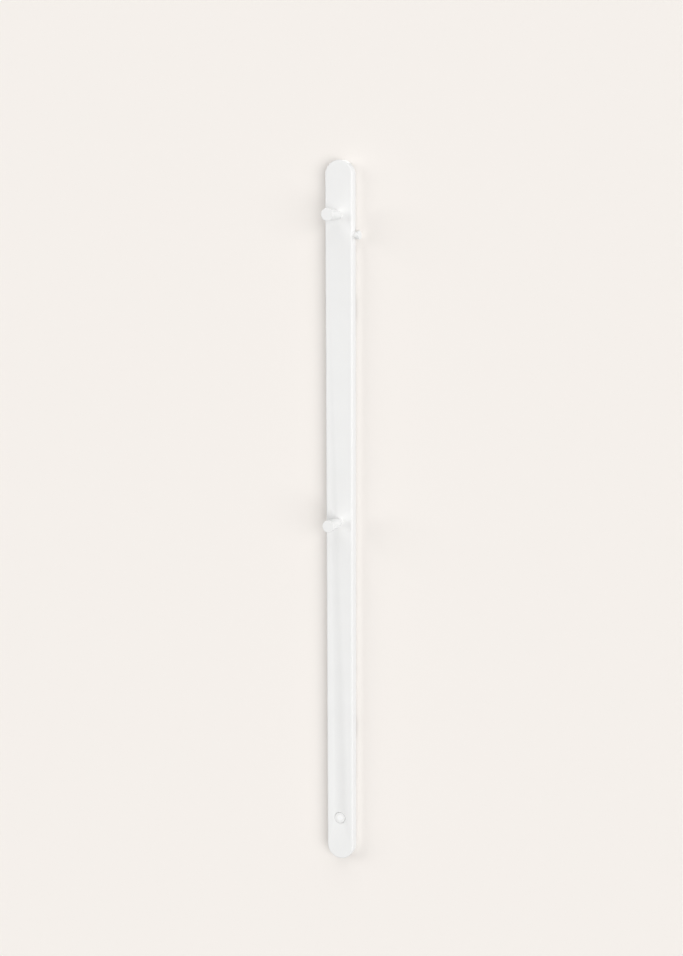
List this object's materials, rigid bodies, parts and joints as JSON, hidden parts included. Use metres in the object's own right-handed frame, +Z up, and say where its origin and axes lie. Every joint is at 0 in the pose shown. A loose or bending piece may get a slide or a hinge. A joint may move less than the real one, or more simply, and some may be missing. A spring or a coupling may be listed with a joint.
{
  "type": "heated towel bar",
  "caption": "Slim vertical wall-hung electric towel warmer: a flat bar with round ends, flared pegs and a push button near the bottom.",
  "frame": {"origin": "on the wall plane, at the centre of the rectangle of four wall screws, which is also the bar's mid height and centreline", "axes": "+Z up along the bar, +Y into the wall, +X to the viewer's right when facing the bar; the front face looks towards -Y"},
  "size_m": [0.074, 0.084, 1.4998],
  "materials": {
    "white_powder_coat": "matt powder coat",
    "galvanised_steel": "zinc-coated sheet",
    "zinc_screws": "bright zinc",
    "spring_steel": "drawn wire",
    "aluminium": "mill finish",
    "red_silicone": "extruded silicone",
    "grey_sleeve": "matt",
    "grey_foam": "open-cell foam",
    "white_button": "fine moulded texture",
    "opal_lens": "satin opal",
    "black_nylon": "moulded",
    "white_nylon": "moulded",
    "circuit_board": "solder resist",
    "brass": "turned",
    "fuse_glass": "ceramic tube",
    "led_epoxy": "clear epoxy",
    "black_rubber": "moulded",
    "brown_wire": "extruded",
    "black_wire": "extruded",
    "green_wire": "extruded"
  },
  "bodies": {
    "bar": {"body_shell": "white_powder_coat", "back_plate": "galvanised_steel", "back_plate_screws": "zinc_screws", "upper_peg": "white_powder_coat", "middle_peg": "white_powder_coat", "side_peg": "white_powder_coat", "peg_backing_plates": "galvanised_steel", "upper_peg_screw": "zinc_screws", "middle_peg_screw": "zinc_screws", "side_peg_screw": "zinc_screws", "heat_spreader": "aluminium", "heating_cable": "red_silicone", "cable_clips": "aluminium", "cold_joints": "grey_sleeve", "insulation_strip": "grey_foam", "button_housing": "black_nylon", "button_housing_screws": "zinc_screws", "button_spring": "spring_steel", "switch_body": "black_nylon", "control_board": "circuit_board", "board_standoffs": "brass", "board_screws": "zinc_screws", "board_insulator": "grey_sleeve", "power_relay": "black_nylon", "power_supply": "black_nylon", "smoothing_capacitor": "aluminium", "board_fuse": "fuse_glass", "fuse_clips": "brass", "indicator_leds": "led_epoxy", "board_connector": "white_nylon", "temperature_sensor": "brass", "thermal_cutout": "white_nylon", "cutout_clip": "aluminium", "terminal_bracket": "galvanised_steel", "terminal_block": "white_nylon", "terminal_screws": "brass", "terminal_cover": "galvanised_steel", "terminal_cover_screws": "zinc_screws", "cable_grommet": "black_rubber", "earth_tag": "brass", "earth_screw": "brass", "supply_leads": "brown_wire", "heater_leads": "black_wire", "earth_lead": "green_wire", "upper_wall_bracket": "galvanised_steel", "lower_wall_bracket": "galvanised_steel"},
    "button": {"button_cap": "white_button", "button_lens": "opal_lens"},
    "plunger": {"switch_plunger": "black_nylon"}
  },
  "joints": [
    {"name": "button_press", "type": "slide", "parent": "bar", "child": "button", "axis": [0, 1, 0], "range_m": [0, 0.0012], "stiffness_N_per_m": 300, "springref_m": -0.001, "deforming": ["button_spring"]},
    {"name": "plunger_press", "type": "slide", "parent": "bar", "child": "plunger", "axis": [0, 1, 0], "range_m": [0, 0.0012]}
  ],
  "couplings": [
    {"joint": "plunger_press", "follows": "button_press", "ratio": 1}
  ]
}
